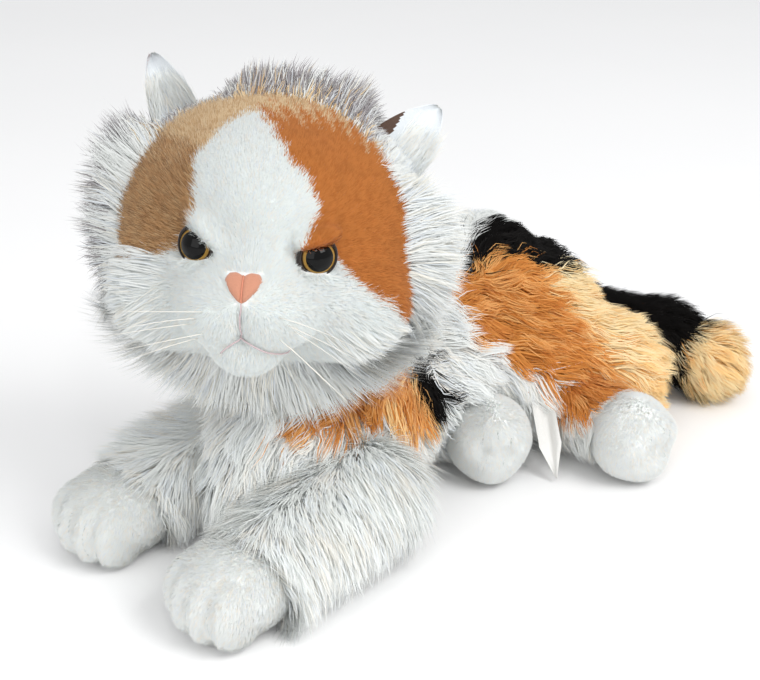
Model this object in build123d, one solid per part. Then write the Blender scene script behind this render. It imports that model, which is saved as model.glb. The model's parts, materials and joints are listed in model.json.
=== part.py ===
from build123d import *
import math
import os

# Plush cat lying on its chest, forelegs stretched forward, head turned to its left,
# both hind feet out on its left side. Millimetres, +Z up, the cat faces -Y.
# Origin: middle of the flat belly patch it rests on.
# Every cover is long- or short-pile cloth; its thickness here takes in the pressed pile.

os.makedirs("parts", exist_ok=True)

# ---- driving dimensions ----
GAP = 0.2                 # sewn pieces of one body, cloth against filling
SOCKET = 0.6              # clearance of a stuffed ball in its cup
FLOOR = 0.4               # feet clear the floor by this
CLOTH = 3.0               # body cloth with short pile, pressed

HEAD_AT = (2, -110, 180)
HEAD_TURN, HEAD_TILT, HEAD_ROLL = 41, -10, 2.5
FACE_R = (77, 72, 70)     # short-pile face
RUFF_R = (90, 82, 80)     # long-pile back of the head, pile laid
SKULL_R = (74, 69, 67)    # inside of both covers
FACE_SEAM_Y = -14         # where face cloth meets ruff cloth
HEAD_UNDER_Z = 116        # underside of the head over the shoulders

NECK_AT = (0, -88, 122)
NECK_R = 36

MUZZLE_AT = (0, -60, -22)
MUZZLE_R = (34, 30, 24)
CHIN_AT = (0, -68, -42)
CHIN_R = (15, 13, 12)

NOSE_W, NOSE_H = 17, 14   # heart of pink suede
NOSE_TOP_Z = -2.5

EYE_D = 16                # standard safety eye
EYE_X, EYE_Z = 31, 4

EAR_W, EAR_H, EAR_PLY = 34, 37, 2.5

SHOULDER = (46, -88, 38)
SHOULDER_R = 28
FOREPAW = (50, -184, 25)
FOREPAW_R = (31, 35, 24.6)
FORELEG_R = 26

LEFT_HIP = (44, 84, 31)
LEFT_FOOT = (106, 78, 27)
RIGHT_HIP = (15, 40, 29)
RIGHT_FOOT = (46, 16, 27)
HIP_R = 24.5
HINDLEG_R = 22.5
HINDPAW_R = (26.5, 26.5, 26.5)

TAIL_ROOT = (4, 158, 45)
TAIL_ROOT_R = 26
TAIL_R = 24
TAIL_MID = (42, 196, 34)
TAIL_END = (80, 207, 27)

SEAM_Z = 52               # body panels meet the belly panel
SPINE_X = -10


# ---- small helpers ----
def ellipsoid(at, radii):
    unit = Sphere(10)
    return Pos(*at) * scale(unit, by=(radii[0] / 10, radii[1] / 10, radii[2] / 10))


def grown(radii, by):
    return (radii[0] + by, radii[1] + by, radii[2] + by)


def rod(start, end, radius):
    a = Vector(*start)
    b = Vector(*end)
    plane = Plane(origin=a, z_dir=b - a)
    return plane * Cylinder(radius, (b - a).length, align=(Align.CENTER, Align.CENTER, Align.MIN))


def ball(at, toward, radius):
    # poles on the limb's own line
    return Plane(origin=at, z_dir=Vector(*toward) - Vector(*at)) * Sphere(radius)


def block(low, high):
    size = (high[0] - low[0], high[1] - low[1], high[2] - low[2])
    mid = ((high[0] + low[0]) / 2, (high[1] + low[1]) / 2, (high[2] + low[2]) / 2)
    return Pos(*mid) * Box(*size)


def above(z):
    return block((-400, -400, z), (400, 400, 500))


def mirror_x(point, side):
    return (point[0] * side, point[1], point[2])


def write(name, shape):
    export_step(shape, "parts/" + name + ".step")


HEAD = Pos(*HEAD_AT) * Rot(0, 0, HEAD_TURN) * Rot(HEAD_TILT, 0, 0) * Rot(0, HEAD_ROLL, 0)
SIDES = (("left", 1), ("right", -1))


# ---- torso ----
def torso_form(inset):
    # rings along the spine: y, middle x, half width, top z, bottom z
    rings = (
        (-134, 0, 14, 74, 32),
        (-120, 0, 33, 90, 10),
        (-92, -2, 47, 101, -6),
        (-45, -8, 52, 113, -10),
        (10, -14, 54, 129, -10),
        (62, -17, 54, 136, -10),
        (112, -12, 50, 121, -8),
        (148, -3, 36, 88, 8),
        (165, 2, 15, 64, 28),
    )
    faces = []
    for y, mid_x, half, top, bottom in rings:
        shift = inset * (1 if y < 0 else -1) * abs(y) / 165
        plane = Plane(origin=(mid_x, y + shift, (top + bottom) / 2), x_dir=(1, 0, 0), z_dir=(0, -1, 0))
        faces.append(plane * Ellipse(half - inset, (top - bottom) / 2 - inset))
    body = loft(faces)
    haunch = ellipsoid((18, 86, 54), grown((44, 58, 50), -inset))
    form = (body + haunch) & above(inset)
    return form


def turned(root, tip, turn):
    c, s = math.cos(math.radians(turn)), math.sin(math.radians(turn))
    dx, dy = tip[0] - root[0], tip[1] - root[1]
    return (root[0] + c * dx - s * dy, root[1] + s * dx + c * dy, tip[2])


def limb_room():
    rooms = [Pos(*NECK_AT) * Sphere(NECK_R + SOCKET)]
    for name, side in SIDES:
        root, tip = mirror_x(SHOULDER, side), mirror_x(FOREPAW, side)
        rooms.append(Pos(*root) * Sphere(SHOULDER_R + SOCKET))
        for turn in (-4, 5, 14):
            rooms.append(rod(root, turned(root, tip, turn * side), FORELEG_R + 1.2))
    for root, tip in ((LEFT_HIP, LEFT_FOOT), (RIGHT_HIP, RIGHT_FOOT)):
        rooms.append(Pos(*root) * Sphere(HIP_R + SOCKET))
        for turn in (-9, 0, 9):
            end = turned(root, tip, turn)
            rooms.append(rod(root, end, HINDLEG_R + 1.2))
            rooms.append(Pos(*end) * Sphere(HINDPAW_R[0] + 1.0))
    rooms.append(Pos(*TAIL_ROOT) * Sphere(TAIL_ROOT_R + SOCKET))
    for turn in (-12, -4, 4, 12):
        rooms.append(rod(TAIL_ROOT, turned(TAIL_ROOT, TAIL_MID, turn), TAIL_R + 1.2))
    return rooms


def carve(shape, rooms):
    for room in rooms:
        shape = shape - room
    return shape


def belly_stitches(grow):
    row = []
    for i in range(9):
        low = (-14 - 0.4 - grow, 40 + i * 7 - grow, -1 if grow else 0.05)
        high = (-14 + 0.4 + grow, 44 + i * 7 + grow, 0.6 + grow)
        row.append(block(low, high))
    return row


def bean_bag(grow):
    # pillow of plastic beans low in the belly, to hold the toy down
    sack = Box(32 + 2 * grow, 118 + 2 * grow, 34 + 2 * grow)
    return Pos(-30, 40, 30) * fillet(sack.edges(), 12)


def make_torso():
    rooms = limb_room()
    outer = torso_form(0)
    shell = outer - torso_form(CLOTH)
    shell = carve(shell, rooms)
    belly = shell & block((-200, -200, -1), (200, 250, SEAM_Z - GAP / 2))
    belly = carve(belly, belly_stitches(0.1))
    left = shell & block((SPINE_X + GAP / 2, -200, SEAM_Z + GAP / 2), (200, 250, 200))
    right = shell & block((-200, -200, SEAM_Z + GAP / 2), (SPINE_X - GAP / 2, 250, 200))
    write("belly_panel", belly)
    write("body_panel_left", left)
    write("body_panel_right", right)
    filling = carve(torso_form(CLOTH + GAP), rooms) - bean_bag(GAP)
    write("body_stuffing", filling)
    write("bean_bag", bean_bag(0))
    write("closing_stitches", Compound(belly_stitches(0)))
    write("sewn_in_label", make_label())


def make_label():
    # blank satin tab, folded, hanging from the haunch seam between the hind feet
    width, thick = 13, 0.8
    root, tip = Vector(54, 52, 51), Vector(78, 44, 8)
    way = tip - root
    length = way.length - width / 2
    plane = Plane(origin=root, x_dir=Vector(1, 1, (way.X + way.Y) / -way.Z), z_dir=way)
    tab = Pos(0, 0, length / 2) * Box(width, thick, length)
    point = Pos(0, 0, length) * Rot(0, 45, 0) * Box(width / 1.414, thick, width / 1.414)
    return plane * (tab + point) - torso_form(-GAP)


# ---- neck ----
def make_neck():
    ball = Pos(*NECK_AT) * Sphere(NECK_R)
    core = Pos(*NECK_AT) * Sphere(NECK_R - 2.5)
    band = block((-60, -150, NECK_AT[2] - 27), (60, -20, NECK_AT[2] + 27))
    write("neck_sleeve", (ball - core) & band)
    filling = (Pos(*NECK_AT) * Sphere(NECK_R - 2.5 - GAP)) & band
    write("neck_stuffing", filling)


# ---- head ----
def eye_frame(side):
    x, z = EYE_X * side, EYE_Z
    y = -FACE_R[1] * math.sqrt(1 - (x / FACE_R[0]) ** 2 - (z / FACE_R[2]) ** 2)
    normal = Vector(x / FACE_R[0] ** 2, y / FACE_R[1] ** 2, z / FACE_R[2] ** 2)
    return Plane(origin=(x, y, z), x_dir=Vector(0, 0, 1).cross(normal), z_dir=normal)


def disc(low, high, radius):
    return Pos(0, 0, (low + high) / 2) * Cylinder(radius, high - low)


def eye_seat(side):
    frame = eye_frame(side)
    r = EYE_D / 2
    return frame * (disc(-0.4, 12, r + 2.2) + disc(-6, 12, 2.3))


def eye_pocket(side):
    return eye_frame(side) * (disc(-14, 2, EYE_D / 2 + 2.2))


def make_eye(name, side):
    frame = eye_frame(side)
    r = EYE_D / 2
    rise = 4.2
    dome_r = (r * r + rise * rise) / (2 * rise)
    lens = (Pos(0, 0, 1.5 + rise - dome_r) * Sphere(dome_r)) & disc(1.5, 12, r + 1)
    base = disc(-0.2, 1.4, r) + disc(-11, -0.1, 2.0)
    washer = disc(-4.9, -3.7, 9.4) - disc(-6, -2, 2.2)
    ring = disc(-0.2, 0.9, r + 1.6)
    inner = -side
    corner = Pos(0, 0, 0.35) * extrude(Polygon((0, -5), (inner * (r + 5), -3.5), (0, 5), align=None), 0.55, both=True)
    liner = (ring + corner) - disc(-2, 3, r + 0.2)
    liner = liner & disc(-1, 2, r + 2.1)
    for part, shape in (("eye_lens_", lens), ("eye_base_", base), ("eye_washer_", washer), ("eye_liner_", liner)):
        write(part + name, HEAD * (frame * shape))


def muzzle_patch(low, high):
    return ellipsoid(MUZZLE_AT, grown(MUZZLE_R, high)) - ellipsoid(MUZZLE_AT, grown(MUZZLE_R, low))


def face_prism(outline):
    return Pos(0, -60, 0) * extrude(Plane.XZ * outline, 60, dir=(0, -1, 0))


def nose_outline():
    w, top, tip = NOSE_W / 2, NOSE_TOP_Z, NOSE_TOP_Z - NOSE_H
    right = [(w * 0.45, top), (w * 0.9, top - 1.2), (w, top - 4), (w * 0.6, top - 9), (w * 0.2, tip + 1)]
    left = [(-x, z) for x, z in reversed(right)]
    return Polygon(*([(0, top - 1.6)] + right + [(0, tip)] + left), align=None)


def strip(start, end, width):
    dx, dz = end[0] - start[0], end[1] - start[1]
    length = math.hypot(dx, dz)
    angle = math.degrees(math.atan2(dz, dx))
    middle = Pos((start[0] + end[0]) / 2, (start[1] + end[1]) / 2)
    return middle * Rot(0, 0, angle) * Rectangle(length + width, width)


def mouth_outline():
    fork = (0, -30.5)
    return strip((0, -18), fork, 1.3) + strip(fork, (-9, -37.5), 1.3) + strip(fork, (13, -37.5), 1.3)


def ear_root(side):
    # ear base line on the crown: middle point and the ear's own upright
    if side > 0:
        return (55.5, 17, 45.5), (28, 10, 20)
    return (-49, 12, 53.5), (-15, -2, 36)


def ear_frame(side):
    middle, up = ear_root(side)
    up = Vector(*up).normalized()
    back = Vector(0.25 * side, 1, 0) if side < 0 else Vector(-0.1, 1, -0.25)
    across = up.cross(back).normalized()
    return Plane(origin=Vector(*middle) + up * 1.2, x_dir=across, z_dir=up.cross(across) * -1)


def ear_outline():
    body = Polygon((-EAR_W / 2, -1.5), (EAR_W / 2, -1.5), (3.5, EAR_H - 4), (-3.5, EAR_H - 4), align=None)
    return body + Pos(0, EAR_H - 4.4) * Circle(3.8)


def make_ear(name, side):
    frame = ear_frame(side)
    front = Pos(0, 0, GAP / 2) * extrude(ear_outline(), EAR_PLY)
    back = Pos(0, 0, -GAP / 2) * extrude(ear_outline(), -EAR_PLY)
    write("ear_" + name + "_front", HEAD * (frame * front))
    write("ear_" + name + "_back", HEAD * (frame * back))


def ear_groove(side):
    line = Rot(0, 90, 0) * Cylinder(5.2, EAR_W + 2.4)
    return ear_frame(side) * line


def make_whiskers(name, side):
    hairs = []
    for i in range(5):
        drop = -6 - 4.5 * i
        spread = 0.62 + 0.05 * i
        root = Vector(side * spread, -math.sqrt(1 - spread * spread - 0.02 * i * 0.5), (drop + 14) / 60)
        root = root.normalized()
        grow = 1.012
        start = Vector(
            MUZZLE_AT[0] + MUZZLE_R[0] * root.X * grow,
            MUZZLE_AT[1] + MUZZLE_R[1] * root.Y * grow,
            MUZZLE_AT[2] + MUZZLE_R[2] * root.Z * grow,
        )
        way = Vector(side * 1.0, -0.42, -0.16 - 0.16 * i).normalized()
        end = start + way * (46 + 4 * (i % 3))
        hairs.append(HEAD * rod(tuple(start + way * 0.5), tuple(end), 0.35))
    write("whiskers_" + name, Compound(hairs))


def make_head():
    face_form = ellipsoid((0, 0, 0), FACE_R)
    ruff_form = ellipsoid((0, 0, 0), RUFF_R)
    skull = ellipsoid((0, 0, 0), SKULL_R)
    front = block((-120, -120, -120), (120, FACE_SEAM_Y - GAP / 2, 120))
    rear = block((-120, FACE_SEAM_Y + GAP / 2, -120), (120, 120, 120))
    face = (face_form - skull) & front
    ruff = (ruff_form - skull) & rear
    filling = ellipsoid((0, 0, 0), grown(SKULL_R, -GAP))
    for name, side in SIDES:
        face = face - eye_seat(side)
        filling = filling - eye_pocket(side)
        face = face - ear_groove(side)
        ruff = ruff - ear_groove(side)
        filling = filling - ear_groove(side)
        # the ears fold down into a shallow valley of the crown pile
        for lean in (-16, 0, 16):
            slab = Rot(lean, 0, 0) * block((-EAR_W / 2 - 1.2, 0, -3.4), (EAR_W / 2 + 1.2, 60, 3.4))
            ruff = ruff - ear_frame(side) * slab
            face = face - ear_frame(side) * slab
    cup = Pos(*NECK_AT) * Sphere(NECK_R + SOCKET)
    over = above(HEAD_UNDER_Z)
    for name, shape in (("face_panel", face), ("head_back_panel", ruff), ("head_stuffing", filling)):
        write(name, ((HEAD * shape) & over) - cup)

    body = ellipsoid((0, 0, 0), grown(FACE_R, GAP))
    muzzle = ellipsoid(MUZZLE_AT, MUZZLE_R) - body
    pad = ellipsoid(MUZZLE_AT, grown(MUZZLE_R, -2.5 - GAP)) - body
    cover = muzzle - ellipsoid(MUZZLE_AT, grown(MUZZLE_R, -2.5))
    for name, side in SIDES:
        cover = cover - eye_seat(side)
    write("muzzle_cover", HEAD * cover)
    write("muzzle_stuffing", HEAD * pad)
    chin = ellipsoid(CHIN_AT, CHIN_R) - body - ellipsoid(MUZZLE_AT, grown(MUZZLE_R, GAP))
    write("chin_cover", HEAD * chin)
    write("nose_patch", HEAD * (muzzle_patch(0.1, 2.0) & face_prism(nose_outline())))
    write("mouth_thread", HEAD * (muzzle_patch(0.1, 1.2) & face_prism(mouth_outline())))
    for name, side in SIDES:
        make_eye(name, side)
        make_ear(name, side)
        make_whiskers(name, side)


# ---- legs ----
def limb_form(root, root_r, tip, leg_r, paw_r, inset):
    shape = ball(root, tip, root_r - inset) + rod(root, tip, leg_r - inset)
    if paw_r == HINDPAW_R:
        return shape + ball(tip, root, HINDPAW_R[0] - inset)
    return (shape + ellipsoid(tip, grown(paw_r, -inset))) & above(FLOOR + inset)


def make_limb(name, root, tip, paw_r, form, toes):
    cloth = 2.5
    shell = form(0) - form(cloth)
    way = Vector(tip[0] - root[0], tip[1] - root[1], 0).normalized()
    # wrist seam: upright plane across the limb just behind the paw
    back = Vector(*tip) - way * (paw_r[1] * 0.72)
    frame = Plane(origin=(back.X, back.Y, 0), x_dir=Vector(0, 0, 1).cross(way), z_dir=way)
    paw_side = frame * (Pos(0, 0, 100 + GAP / 2) * Box(300, 300, 200))
    leg_side = frame * (Pos(0, 0, -100 - GAP / 2) * Box(300, 300, 200))
    write(name + "_sleeve", shell & leg_side)
    write(name + "_paw_cover", shell & paw_side)
    write(name + "_stuffing", form(cloth + GAP))
    skin = ellipsoid(tip, grown(paw_r, 0.9)) - ellipsoid(tip, grown(paw_r, 0.1))
    face = Plane(origin=tip, x_dir=Vector(0, 0, 1).cross(way) * -1, z_dir=way)
    threads = []
    for low, high in toes:
        strip_2d = strip(low, high, 1.2)
        threads += (face * (extrude(strip_2d, 60)) & skin & above(1.2)).solids()
    write(name + "_toe_threads", Compound(threads))


def make_legs():
    toes = (((-11, -14), (-13, 12)), ((0, -15), (0, 14)), ((11, -14), (13, 12)))
    pads = (((-10, 8), (-6, 14)), ((-1, 10), (1, 16)), ((8, 8), (10, 3)), ((-5, -6), (6, -6)))
    for name, side in SIDES:
        root, tip = mirror_x(SHOULDER, side), mirror_x(FOREPAW, side)

        def fore(inset, root=root, tip=tip):
            return limb_form(root, SHOULDER_R, tip, FORELEG_R, FOREPAW_R, inset)

        make_limb("foreleg_" + name, root, tip, FOREPAW_R, fore, toes)
    for name, root, tip in (("left", LEFT_HIP, LEFT_FOOT), ("right", RIGHT_HIP, RIGHT_FOOT)):

        def hind(inset, root=root, tip=tip):
            return limb_form(root, HIP_R, tip, HINDLEG_R, HINDPAW_R, inset)

        make_limb("hindleg_" + name, root, tip, HINDPAW_R, hind, pads)


# ---- tail ----
def tail_form(inset):
    shape = ball(TAIL_ROOT, TAIL_MID, TAIL_ROOT_R - inset)
    shape = shape + rod(TAIL_ROOT, TAIL_MID, TAIL_R - 1.4 - inset)
    shape = shape + ball(TAIL_MID, TAIL_END, TAIL_R + 0.8 - inset)
    shape = shape + rod(TAIL_MID, TAIL_END, TAIL_R - 1.8 - inset)
    return shape + ball(TAIL_END, TAIL_MID, TAIL_R + 1 - inset)


def make_tail():
    shell = tail_form(0) - tail_form(CLOTH)
    seam_x = 62
    write("tail_sleeve", shell & block((-100, 0, -10), (seam_x - GAP / 2, 300, 150)))
    write("tail_tip_cover", shell & block((seam_x + GAP / 2, 0, -10), (200, 300, 150)))
    write("tail_stuffing", tail_form(CLOTH + GAP))


make_torso()
make_neck()
make_head()
make_legs()
make_tail()
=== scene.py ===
import json
import math
import bpy
import numpy as np
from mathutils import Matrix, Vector
from mathutils.bvhtree import BVHTree
from mathutils.kdtree import KDTree


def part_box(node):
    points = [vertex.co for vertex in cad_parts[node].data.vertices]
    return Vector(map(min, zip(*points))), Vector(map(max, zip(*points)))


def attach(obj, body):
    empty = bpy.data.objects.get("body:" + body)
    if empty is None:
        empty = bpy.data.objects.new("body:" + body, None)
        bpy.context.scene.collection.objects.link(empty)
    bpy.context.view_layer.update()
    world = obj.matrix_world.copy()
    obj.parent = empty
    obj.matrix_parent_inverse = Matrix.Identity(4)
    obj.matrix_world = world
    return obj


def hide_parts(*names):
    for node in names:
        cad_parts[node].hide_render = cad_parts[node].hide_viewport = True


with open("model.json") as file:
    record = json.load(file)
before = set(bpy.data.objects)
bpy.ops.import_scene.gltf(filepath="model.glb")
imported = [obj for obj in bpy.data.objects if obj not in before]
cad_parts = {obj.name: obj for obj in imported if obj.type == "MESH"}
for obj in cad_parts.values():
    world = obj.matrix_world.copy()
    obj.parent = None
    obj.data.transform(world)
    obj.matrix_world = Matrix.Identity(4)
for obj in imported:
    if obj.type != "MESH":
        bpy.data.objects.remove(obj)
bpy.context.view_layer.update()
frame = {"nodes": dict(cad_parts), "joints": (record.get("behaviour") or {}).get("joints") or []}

MM = 0.001
scene = bpy.context.scene

# ---- camera
SENSOR_MM = 36
LENS_MM = 63.95
EYE_AT = Vector((0.498, -0.528, 0.420))
PITCH = math.radians(25)
LEVEL = math.cos(PITCH) * math.sqrt(0.5)
LOOK = Vector((-LEVEL, LEVEL, -math.sin(PITCH)))
cam = bpy.data.objects.new("camera", bpy.data.cameras.new("camera"))
scene.collection.objects.link(cam)
cam.location = EYE_AT
cam.rotation_euler = LOOK.to_track_quat("-Z", "Y").to_euler()
cam.data.sensor_width = SENSOR_MM
cam.data.lens = LENS_MM
scene.camera = cam


# ---- where things are
def joint_at(name):
    """Where a joint of the frame is, mm."""
    return np.array(next(j for j in frame["joints"] if j["name"] == name)["pos_m"]) / MM


def low_high(node):
    """Low and high corners of a CAD node, mm."""
    low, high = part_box(node)
    return np.array(low) / MM, np.array(high) / MM


def turn(axis, degrees):
    """Turn about one axis, as a matrix."""
    a = math.radians(degrees)
    c, s = math.cos(a), math.sin(a)
    if axis == "x":
        return np.array([[1, 0, 0], [0, c, -s], [0, s, c]])
    if axis == "y":
        return np.array([[c, 0, s], [0, 1, 0], [-s, 0, c]])
    return np.array([[c, -s, 0], [s, c, 0], [0, 0, 1]])


SIDES = ("left", "right")
NECK = joint_at("neck_turn")
# the head is turned to its left, tipped back and tilted a little
HEAD = turn("z", 41) @ turn("x", -10) @ turn("y", 2.5)
HEAD_MID = NECK + np.array([2, -22, 58])
SHOULDER = {s: joint_at("foreleg_" + s + "_swing") for s in SIDES}
HIP = {s: joint_at("hindleg_" + s + "_swing") for s in SIDES}
TAIL_ROOT = joint_at("tail_swing")
# middles of the paws, measured in from the ends of their covers
FOREPAW_BACK = 35
FOREPAW_UP = 24.6
HINDPAW_IN = 26.5
HINDPAW_UP = 27
FOREPAW = {}
for s in SIDES:
    low, high = low_high("foreleg_" + s + "_paw_cover")
    FOREPAW[s] = np.array([(low[0] + high[0]) / 2, low[1] + FOREPAW_BACK, low[2] + FOREPAW_UP])
low, high = low_high("hindleg_left_paw_cover")
HINDPAW = {"left": np.array([high[0] - HINDPAW_IN, (low[1] + high[1]) / 2, HINDPAW_UP])}
low, high = low_high("hindleg_right_paw_cover")
HINDPAW["right"] = np.array([high[0] - HINDPAW_IN, low[1] + HINDPAW_IN, HINDPAW_UP])
TAIL_TIP = low_high("tail_tip_cover")[1] - np.array([30, 30, 26])
TAIL_MID = np.array([42, 196, 34.0])


def to_head(p):
    """Row-frame points in head axes."""
    return (p - HEAD_MID) @ HEAD


def from_head(p):
    """Points in head axes, in the row frame."""
    return np.asarray(p, float) @ HEAD.T + HEAD_MID


# ---- shapes as distance fields, mm
def egg(p, at, radii, rot=None):
    """Rough distance to an ellipsoid."""
    q = p - np.asarray(at, float)
    if rot is not None:
        q = q @ rot
    r = np.asarray(radii, float)
    k0 = np.linalg.norm(q / r, axis=-1)
    k1 = np.linalg.norm(q / (r * r), axis=-1) + 1e-9
    return k0 * (k0 - 1) / k1


def limb(p, a, b, ra, rb):
    """Distance to a round-ended rod that tapers from ra to rb."""
    a, b = np.asarray(a, float), np.asarray(b, float)
    t = np.clip(((p - a) @ (b - a)) / ((b - a) @ (b - a)), 0, 1)
    return np.linalg.norm(p - a - t[..., None] * (b - a), axis=-1) - (ra + (rb - ra) * t)


def join(a, b, k):
    """Two forms as one, blended over k."""
    h = np.clip(0.5 + 0.5 * (b - a) / k, 0, 1)
    return b * (1 - h) + a * h - k * h * (1 - h)


def cut(a, b, k):
    """The first form less the second, blended over k."""
    return -join(-a, b, k)


def above(d, p, height):
    """The form cut off level, height above the floor."""
    return np.maximum(d, height - p[:, 2])


def beside(d, other, gap):
    """The form with room for another one and a gap round it."""
    return np.maximum(d, gap - other)


def surface(field, low, high, step):
    """Closed quad surface where the field is zero (surface nets)."""
    low, high = np.asarray(low, float), np.asarray(high, float)
    n = np.ceil((high - low) / step).astype(int) + 1
    axes = [low[i] + step * np.arange(n[i]) for i in range(3)]
    grid = np.stack(np.meshgrid(*axes, indexing="ij"), -1)
    v = field(grid.reshape(-1, 3)).reshape(n)
    inside = v < 0
    cells = tuple(n - 1)
    total = np.zeros(cells + (3,))
    count = np.zeros(cells)
    edges = []
    for a in range(3):
        lo = [slice(None)] * 3
        hi = [slice(None)] * 3
        lo[a], hi[a] = slice(0, -1), slice(1, None)
        lo, hi = tuple(lo), tuple(hi)
        flips = inside[lo] != inside[hi]
        edges.append(flips)
        with np.errstate(divide="ignore", invalid="ignore"):
            t = np.where(flips, v[lo] / (v[lo] - v[hi]), 0)
        where = grid[lo].copy()
        where[..., a] += t * step
        where *= flips[..., None]
        b, c = [i for i in range(3) if i != a]
        for db in (0, 1):
            for dc in (0, 1):
                cell = [slice(None)] * 3
                edge = [slice(None)] * 3
                for ax, d in ((b, db), (c, dc)):
                    cell[ax] = slice(0, n[ax] - 1)
                    edge[ax] = slice(d, n[ax] - 1 + d)
                total[tuple(cell)] += where[tuple(edge)]
                count[tuple(cell)] += flips[tuple(edge)]
    active = count > 0
    index = np.full(cells, -1)
    index[active] = np.arange(active.sum())
    verts = total[active] / count[active][:, None]
    quads = []
    for a in range(3):
        b, c = [i for i in range(3) if i != a]
        if a == 1:
            b, c = c, b
        i = np.argwhere(edges[a])
        ok = (i[:, b] > 0) & (i[:, c] > 0) & (i[:, b] < n[b] - 1) & (i[:, c] < n[c] - 1)
        i = i[ok]
        corner = []
        for db, dc in ((1, 1), (0, 1), (0, 0), (1, 0)):
            j = i.copy()
            j[:, b] -= db
            j[:, c] -= dc
            corner.append(index[tuple(j.T)])
        q = np.stack(corner, 1)
        start = inside[tuple(i.T)]
        q[~start] = q[~start][:, ::-1]
        quads.append(q)
    return verts, np.concatenate(quads)


def smooth_verts(verts, quads, times, amount=0.5):
    """Each vertex moved towards the middle of its neighbours."""
    for _ in range(times):
        total = np.zeros_like(verts)
        count = np.zeros(len(verts))
        for k in range(4):
            a, b = quads[:, k], quads[:, (k + 1) % 4]
            np.add.at(total, a, verts[b])
            np.add.at(total, b, verts[a])
            np.add.at(count, a, 1)
            np.add.at(count, b, 1)
        verts = verts + amount * (total / count[:, None] - verts)
    return verts


def make_mesh(name, verts, faces):
    """Smooth-shaded object from points in mm."""
    mesh = bpy.data.meshes.new(name)
    mesh.from_pydata((np.asarray(verts) * MM).tolist(), [], [list(map(int, f)) for f in faces])
    mesh.update()
    obj = bpy.data.objects.new(name, mesh)
    scene.collection.objects.link(obj)
    mesh.polygons.foreach_set("use_smooth", [True] * len(mesh.polygons))
    return obj


def normals_of(verts, quads):
    """Vertex normals, weighted by area."""
    a, b, c, d = (verts[quads[:, i]] for i in range(4))
    fn = np.cross(c - a, d - b)
    out = np.zeros_like(verts)
    for i in range(4):
        np.add.at(out, quads[:, i], fn)
    return out / (np.linalg.norm(out, axis=1)[:, None] + 1e-9)


# ---- colours and materials
def lin(r, g, b):
    """Screen colour, 0 to 255, to linear light."""
    return tuple(c / 255 / 12.92 if c < 11 else ((c / 255 + 0.055) / 1.055) ** 2.4 for c in (r, g, b))


TINTS = {
    "white": (246, 248, 246),
    "white_cool": (240, 244, 247),
    "white_warm": (248, 245, 238),
    "plush": (234, 238, 236),
    "plush_cool": (228, 234, 237),
    "plush_warm": (236, 235, 229),
    "mane": (235, 237, 235),
    "mane_cool": (226, 231, 235),
    "mane_warm": (236, 234, 226),
    "ear_pink": (226, 213, 212),
    "ear_dark": (84, 60, 48),
    # grey strand tips: frosting on the ruff's top, painted shade on its shadowed left side
    "grey": (186, 184, 186),
    "grey_dark": (146, 140, 142),
    "cream": (228, 204, 166),
    "cream_dark": (208, 174, 130),
    "tan": (196, 154, 108),
    "tan_dark": (150, 114, 80),
    "gold": (255, 220, 160),
    "gold_light": (255, 236, 194),
    "orange_light": (240, 184, 114),
    "orange": (226, 156, 80),
    "orange_deep": (204, 132, 62),
    "rust": (202, 130, 66),
    "rust_dark": (190, 118, 58),
    "black": (19, 17, 16),
    "black_soft": (32, 30, 29),
}


# scales of the colour noise, and the share of light that passes through a hair
HAIR_GRAIN = 140
CLOTH_GRAIN = 900
HAIR_GLOW = 0.3


def new_material(name):
    mat = bpy.data.materials.new(name)
    mat.use_nodes = True
    tree = mat.node_tree
    return mat, tree, tree.nodes["Principled BSDF"]


def add_noise(tree, scale):
    """Noise texture in the object's own space."""
    coords = tree.nodes.new("ShaderNodeTexCoord")
    noise = tree.nodes.new("ShaderNodeTexNoise")
    noise.inputs["Scale"].default_value = scale
    tree.links.new(coords.outputs["Object"], noise.inputs["Vector"])
    return noise


def add_bump(tree, bsdf, noise, strength, distance):
    """Fine relief that follows a noise texture."""
    bump = tree.nodes.new("ShaderNodeBump")
    bump.inputs["Strength"].default_value = strength
    bump.inputs["Distance"].default_value = distance
    tree.links.new(noise.outputs["Fac"], bump.inputs["Height"])
    tree.links.new(bump.outputs["Normal"], bsdf.inputs["Normal"])


def noise_colour(tree, bsdf, base, spread, scale):
    """Base colour that varies by spread either way with fine noise."""
    a, b = np.clip(base * (1 - spread), 0, 1), np.clip(base * (1 + spread), 0, 1)
    noise = add_noise(tree, scale)
    noise.inputs["Detail"].default_value = 3.0
    mix = tree.nodes.new("ShaderNodeMix")
    mix.data_type = "RGBA"
    mix.inputs["A"].default_value = (*a, 1)
    mix.inputs["B"].default_value = (*b, 1)
    tree.links.new(noise.outputs["Fac"], mix.inputs["Factor"])
    tree.links.new(mix.outputs["Result"], bsdf.inputs["Base Color"])
    return noise


def pile_material(key):
    """Hair fibre: matte, with some light passing through."""
    mat, tree, bsdf = new_material("pile_" + key)
    base = np.array(lin(*TINTS[key]))
    spread = 0.03 if base.mean() > 0.3 else 0.12
    noise_colour(tree, bsdf, base, spread, HAIR_GRAIN)
    bsdf.inputs["Roughness"].default_value = 0.8
    bsdf.inputs["Sheen Weight"].default_value = 0.0 if "black" in key else 0.15
    bsdf.inputs["Sheen Roughness"].default_value = 0.5
    bsdf.inputs["Specular IOR Level"].default_value = 0.12
    glow = tree.nodes.new("ShaderNodeBsdfTranslucent")
    tree.links.new(bsdf.inputs["Base Color"].links[0].from_socket, glow.inputs["Color"])
    blend = tree.nodes.new("ShaderNodeMixShader")
    blend.inputs["Fac"].default_value = HAIR_GLOW
    tree.links.new(bsdf.outputs["BSDF"], blend.inputs[1])
    tree.links.new(glow.outputs["BSDF"], blend.inputs[2])
    tree.links.new(blend.outputs["Shader"], tree.nodes["Material Output"].inputs["Surface"])
    return mat


PILE = {key: pile_material(key) for key in TINTS}


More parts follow.
